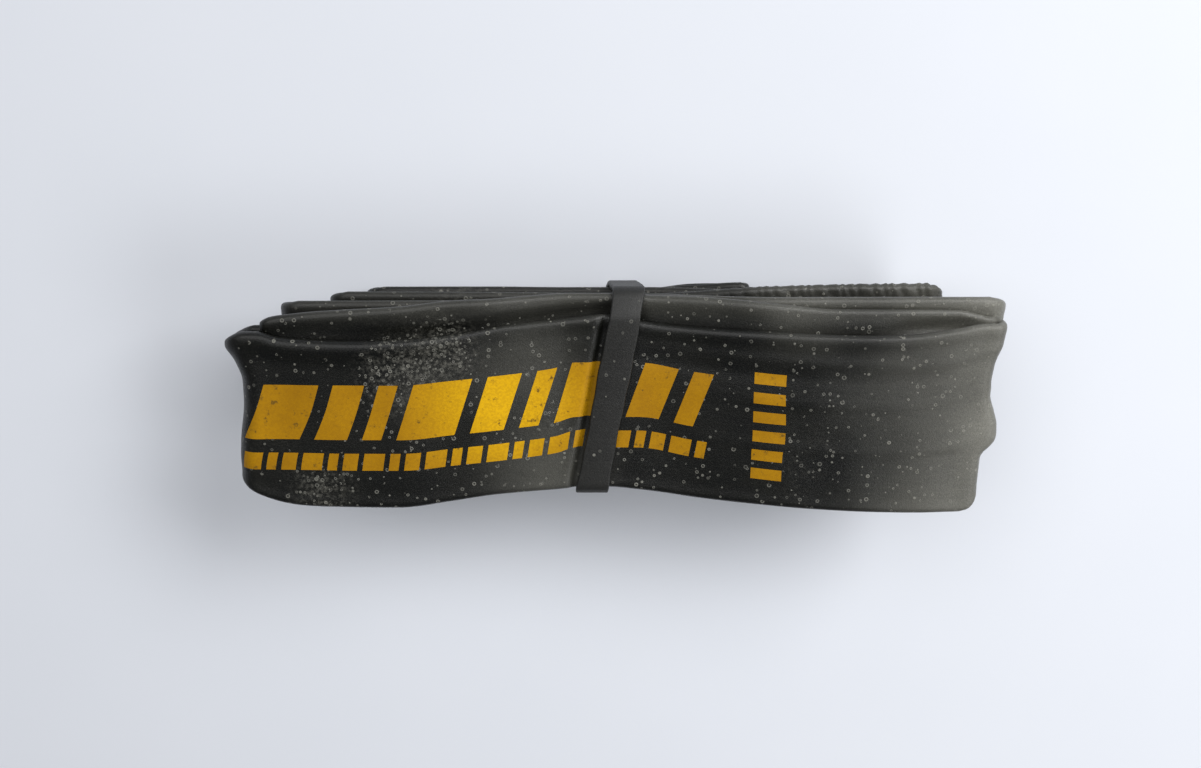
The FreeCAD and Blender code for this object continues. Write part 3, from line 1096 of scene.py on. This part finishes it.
def ink():
    """Yellow print, darker in places, with fine brown specks, worn spots and a painted pool of light where
    the lamps fall beside the band.
    """
    dark, light, lit_tint = (0.25, 0.112, 0.001, 1), (0.45, 0.228, 0.002, 1), (0.70, 0.40, 0.002, 1)
    speck, worn = (0.22, 0.10, 0.004, 1), (0.14, 0.075, 0.01, 1)
    n = Nodes("yellow_ink")
    whole = n.span(n.noise(700.0, detail=5.0, rough=0.7), 0.3, 0.42)
    tint = n.mix(n.noise(160.0), dark, light)
    # Painted light: brighter print where the lamps fall
    tint = n.mix(blobs(n, PAINTED_INK_LIGHT), tint, lit_tint)
    tint = n.mix(n.span(n.noise(2400.0), 0.35, 0.65, 0.0, 0.26), tint, speck)
    rough = n.math("ADD", 0.42, n.math("MULTIPLY", whole, 0.12))
    n.surface(n.mix(whole, worn, tint), rough, n.bump(n.noise(3000.0), 0.3, 0.00005))
    n.shader.inputs["Specular IOR Level"].default_value = 0.18
    return n.material


def metal(name, colour, roughness):
    """Metal with darker stains."""
    n = Nodes(name)
    n.shader.inputs["Metallic"].default_value = 1.0
    stain = n.noise(400.0, detail=4.0)
    darker = tuple(c * 0.7 for c in colour[:3]) + (1,)
    rough = n.math("ADD", roughness - 0.08, n.math("MULTIPLY", stain, 0.16))
    n.surface(n.mix(stain, darker, colour), rough, n.bump(n.noise(5000.0), 0.15, 0.00002))
    return n.material


def plastic(name, colour):
    """Moulded plastic with lighter clouds."""
    n = Nodes(name)
    cloud = n.noise(600.0, detail=4.0)
    lighter = tuple(min(1.0, c * 1.7) for c in colour[:3]) + (1,)
    rough = n.math("ADD", 0.34, n.math("MULTIPLY", cloud, 0.15))
    n.surface(n.mix(cloud, colour, lighter), rough, n.bump(n.noise(4000.0), 0.2, 0.00003))
    return n.material


def paint_core():
    """Brass on the core's body, pin and lock nut, which keep their CAD shapes."""
    for node, name, colour, roughness in (
        ("core_body", "brass", (0.70, 0.50, 0.20, 1), 0.3),
        ("core_pin", "brass_pin", (0.72, 0.52, 0.22, 1), 0.26),
        ("core_nut", "brass_nut", (0.68, 0.49, 0.20, 1), 0.28),
    ):
        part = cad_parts[node]
        part.data.materials.clear()
        part.data.materials.append(metal(name, colour, roughness))


# ---------------------------------------------------------------- studio, in metres
FLOOR_HALF = 6.0
FLOOR_DARK, FLOOR_LIGHT = (0.645, 0.67, 0.72, 1), (0.67, 0.69, 0.74, 1)
SKY_COLOUR, SKY_STRENGTH = (0.88, 0.93, 1.0, 1), 0.1
LAMP_AIM = Vector((0, 0, 0.01))

# Soft lamps: name, place, width, height and power. The ceiling is a sun lamp, so only its
# direction counts
LAMPS = (
    ("window", (0.44, 0.42, 0.50), 0.5, 0.3, 5.6),
    ("glare", (0.50, -0.20, 0.54), 0.4, 0.3, 1.9),
)
CEILING_PLACE, CEILING_POWER, CEILING_ANGLE = (-0.25, 0.40, 0.75), 1.35, math.radians(50.0)

# The camera looks down on the top face, from a little over the +Y side. Sizes of its lens in mm,
# and the point it aims at in the pile's axes
CAMERA_TILT = math.radians(19.0)
CAMERA_DISTANCE = 0.208
CAMERA_AIM = np.array([0.0, 6.83, 29.0])
SENSOR, LENS = 36.0, 38.57785


def floor():
    mesh = bpy.data.meshes.new("floor")
    corners = [(x * FLOOR_HALF, y * FLOOR_HALF, 0) for x, y in ((-1, -1), (1, -1), (1, 1), (-1, 1))]
    mesh.from_pydata(corners, [], [(0, 1, 2, 3)])
    ground = bpy.data.objects.new("floor", mesh)
    bpy.context.scene.collection.objects.link(ground)
    n = Nodes("pale_paper")
    n.link(n.mix(n.noise(30.0, detail=4.0), FLOOR_DARK, FLOOR_LIGHT), n.shader.inputs["Base Color"])
    n.shader.inputs["Roughness"].default_value = 0.85
    mesh.materials.append(n.material)


def surroundings():
    world = bpy.data.worlds.new("studio")
    world.use_nodes = True
    world.node_tree.nodes["Background"].inputs[0].default_value = SKY_COLOUR
    world.node_tree.nodes["Background"].inputs[1].default_value = SKY_STRENGTH
    bpy.context.scene.world = world
    bpy.context.scene.view_settings.view_transform = "Standard"


def hang(light, place):
    """Puts a light up, aimed at the object."""
    lamp = bpy.data.objects.new(light.name, light)
    lamp.location = place
    lamp.rotation_euler = (LAMP_AIM - Vector(place)).to_track_quat("-Z", "Y").to_euler()
    bpy.context.scene.collection.objects.link(lamp)


def lamps():
    for name, place, width, height, power in LAMPS:
        light = bpy.data.lights.new(name, "AREA")
        light.shape = "RECTANGLE"
        light.size = width
        light.size_y = height
        light.energy = power
        hang(light, place)
    ceiling = bpy.data.lights.new("ceiling", "SUN")
    ceiling.energy = CEILING_POWER
    ceiling.angle = CEILING_ANGLE
    hang(ceiling, CEILING_PLACE)


def camera():
    forward = Vector((0, -math.sin(CAMERA_TILT), -math.cos(CAMERA_TILT)))
    up = Vector((0, math.cos(CAMERA_TILT), -math.sin(CAMERA_TILT)))
    right = Vector((1, 0, 0))
    data = bpy.data.cameras.new("camera")
    data.sensor_width = SENSOR
    data.lens = LENS
    data.clip_start = 0.01
    eye = bpy.data.objects.new("camera", data)
    turn = Matrix((right, up, -forward)).transposed()
    place = Vector(to_frame(CAMERA_AIM)) - forward * CAMERA_DISTANCE
    eye.matrix_world = Matrix.Translation(place) @ turn.to_4x4()
    bpy.context.scene.collection.objects.link(eye)
    bpy.context.scene.camera = eye


# ---------------------------------------------------------------- build
tube_material, band_material = tube_rubber(), band_rubber()
make_tube(tube_material)
make_print(ink())
make_band(band_material)
make_foot(tube_material)
make_gasket(band_material)
make_pin_seal(band_material)
make_stem(metal("nickel", (0.62, 0.60, 0.56, 1), 0.3))
make_cap(plastic("cap_plastic", (0.018, 0.018, 0.019, 1)))
paint_core()
floor()
surroundings()
lamps()
camera()
